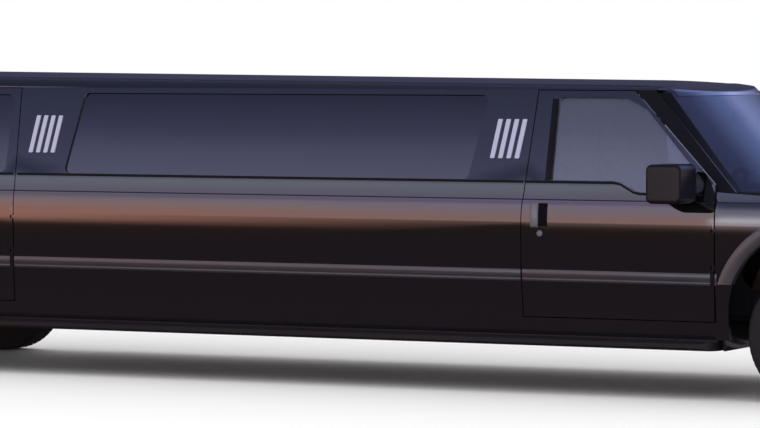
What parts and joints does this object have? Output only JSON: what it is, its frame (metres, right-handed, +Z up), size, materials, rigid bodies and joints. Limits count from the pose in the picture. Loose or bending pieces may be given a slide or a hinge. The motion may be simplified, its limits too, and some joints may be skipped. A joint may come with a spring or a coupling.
{
  "type": "suv-based stretch limousine",
  "caption": "Black SUV-based stretch limousine with hinged doors, hood and liftgate, steered front wheels, running boards and a lounge cabin behind long side glass.",
  "frame": {"origin": "ground point under the middle of the length", "axes": "+X toward the nose, +Y toward the left side, +Z up"},
  "size_m": [8.95, 2.6, 1.9677],
  "materials": {
    "body_paint": "gloss black",
    "black_trim": "satin black",
    "bumper_metal": "gloss black",
    "bright_trim": "bright",
    "side_tint": "dark tint",
    "windshield_tint": "clear blue tint",
    "lamp_clear": "clear",
    "lamp_red": "gloss red",
    "frame_steel": "satin black",
    "floor_steel": "satin",
    "engine_iron": "rough",
    "shaft_steel": "dull",
    "tank_plastic": "matt",
    "rim_alloy": "polished",
    "tyre": "matt",
    "dash_plastic": "matt",
    "seat_leather": "satin",
    "cabinet_wood": "lacquered",
    "partition_trim": "matt"
  },
  "bodies": {
    "body": {"bar_cabinet": "cabinet_wood", "chassis_frame": "frame_steel", "cowl_and_pillars": "body_paint", "dashboard": "dash_plastic", "engine_and_gearbox": "engine_iron", "exhaust": "shaft_steel", "floor_pan": "floor_steel", "front_axle": "engine_iron", "front_bumper": "bumper_metal", "front_fender_left": "body_paint", "front_fender_right": "body_paint", "front_seats": "seat_leather", "fuel_tank": "tank_plastic", "grille": "bright_trim", "head_lamps": "lamp_clear", "lounge_seats": "seat_leather", "louvre_bars": "bright_trim", "nose_panel": "body_paint", "partition": "partition_trim", "propeller_shaft": "shaft_steel", "rear_axle": "engine_iron", "rear_bumper": "bumper_metal", "rear_quarter_left": "body_paint", "rear_quarter_right": "body_paint", "roof_panel": "body_paint", "running_boards": "black_trim", "side_glass": "side_tint", "side_panel_left": "body_paint", "side_panel_right": "body_paint", "steering_wheel": "dash_plastic", "tail_lamps": "lamp_red", "tow_points": "frame_steel", "windshield": "windshield_tint"},
    "front_door_right": {"front_door_right": "body_paint", "front_door_glass_right": "side_tint", "door_mirror_right": "black_trim"},
    "front_door_left": {"front_door_left": "body_paint", "front_door_glass_left": "side_tint", "door_mirror_left": "black_trim"},
    "rear_door_right": {"rear_door_right": "body_paint", "rear_door_glass_right": "side_tint"},
    "rear_door_left": {"rear_door_left": "body_paint", "rear_door_glass_left": "side_tint"},
    "hood": {"hood": "body_paint"},
    "liftgate": {"liftgate": "body_paint", "liftgate_glass": "side_tint"},
    "knuckle_right": {"knuckle_right": "engine_iron"},
    "knuckle_left": {"knuckle_left": "engine_iron"},
    "wheel_front_right": {"rim_front_right": "rim_alloy", "tyre_front_right": "tyre"},
    "wheel_front_left": {"rim_front_left": "rim_alloy", "tyre_front_left": "tyre"},
    "wheel_rear_right": {"rim_rear_right": "rim_alloy", "tyre_rear_right": "tyre"},
    "wheel_rear_left": {"rim_rear_left": "rim_alloy", "tyre_rear_left": "tyre"}
  },
  "joints": [
    {"name": "front_door_right_hinge", "type": "hinge", "parent": "body", "child": "front_door_right", "pos_m": [2.881, -1.005, 0.91], "axis": [0, 0, 1], "range_deg": [0, 65]},
    {"name": "front_door_left_hinge", "type": "hinge", "parent": "body", "child": "front_door_left", "pos_m": [2.881, 1.005, 0.91], "axis": [0, 0, -1], "range_deg": [0, 65]},
    {"name": "rear_door_right_hinge", "type": "hinge", "parent": "body", "child": "rear_door_right", "pos_m": [-1.981, -1.005, 0.91], "axis": [0, 0, 1], "range_deg": [0, 65]},
    {"name": "rear_door_left_hinge", "type": "hinge", "parent": "body", "child": "rear_door_left", "pos_m": [-1.981, 1.005, 0.91], "axis": [0, 0, -1], "range_deg": [0, 65]},
    {"name": "hood_hinge", "type": "hinge", "parent": "body", "child": "hood", "pos_m": [3.245, 0, 1.26086], "axis": [0, -1, 0], "range_deg": [0, 50]},
    {"name": "liftgate_hinge", "type": "hinge", "parent": "body", "child": "liftgate", "pos_m": [-4.269, 0, 1.835], "axis": [0, 1, 0], "range_deg": [0, 85]},
    {"name": "steer_left", "type": "hinge", "parent": "body", "child": "knuckle_left", "pos_m": [3.495, 0.76, 0.402], "axis": [0, 0, 1], "range_deg": [-33, 33]},
    {"name": "steer_right", "type": "hinge", "parent": "body", "child": "knuckle_right", "pos_m": [3.495, -0.76, 0.402], "axis": [0, 0, 1], "range_deg": [-33, 33]},
    {"name": "spin_front_left", "type": "hinge", "parent": "knuckle_left", "child": "wheel_front_left", "pos_m": [3.495, 0.869, 0.402], "axis": [0, 1, 0], "continuous": true},
    {"name": "spin_front_right", "type": "hinge", "parent": "knuckle_right", "child": "wheel_front_right", "pos_m": [3.495, -0.869, 0.402], "axis": [0, 1, 0], "continuous": true},
    {"name": "spin_rear_left", "type": "hinge", "parent": "body", "child": "wheel_rear_left", "pos_m": [-3.145, 0.865, 0.402], "axis": [0, 1, 0], "continuous": true},
    {"name": "spin_rear_right", "type": "hinge", "parent": "body", "child": "wheel_rear_right", "pos_m": [-3.145, -0.865, 0.402], "axis": [0, 1, 0], "continuous": true}
  ],
  "couplings": [
    {"joint": "steer_right", "follows": "steer_left", "ratio": 1}
  ]
}
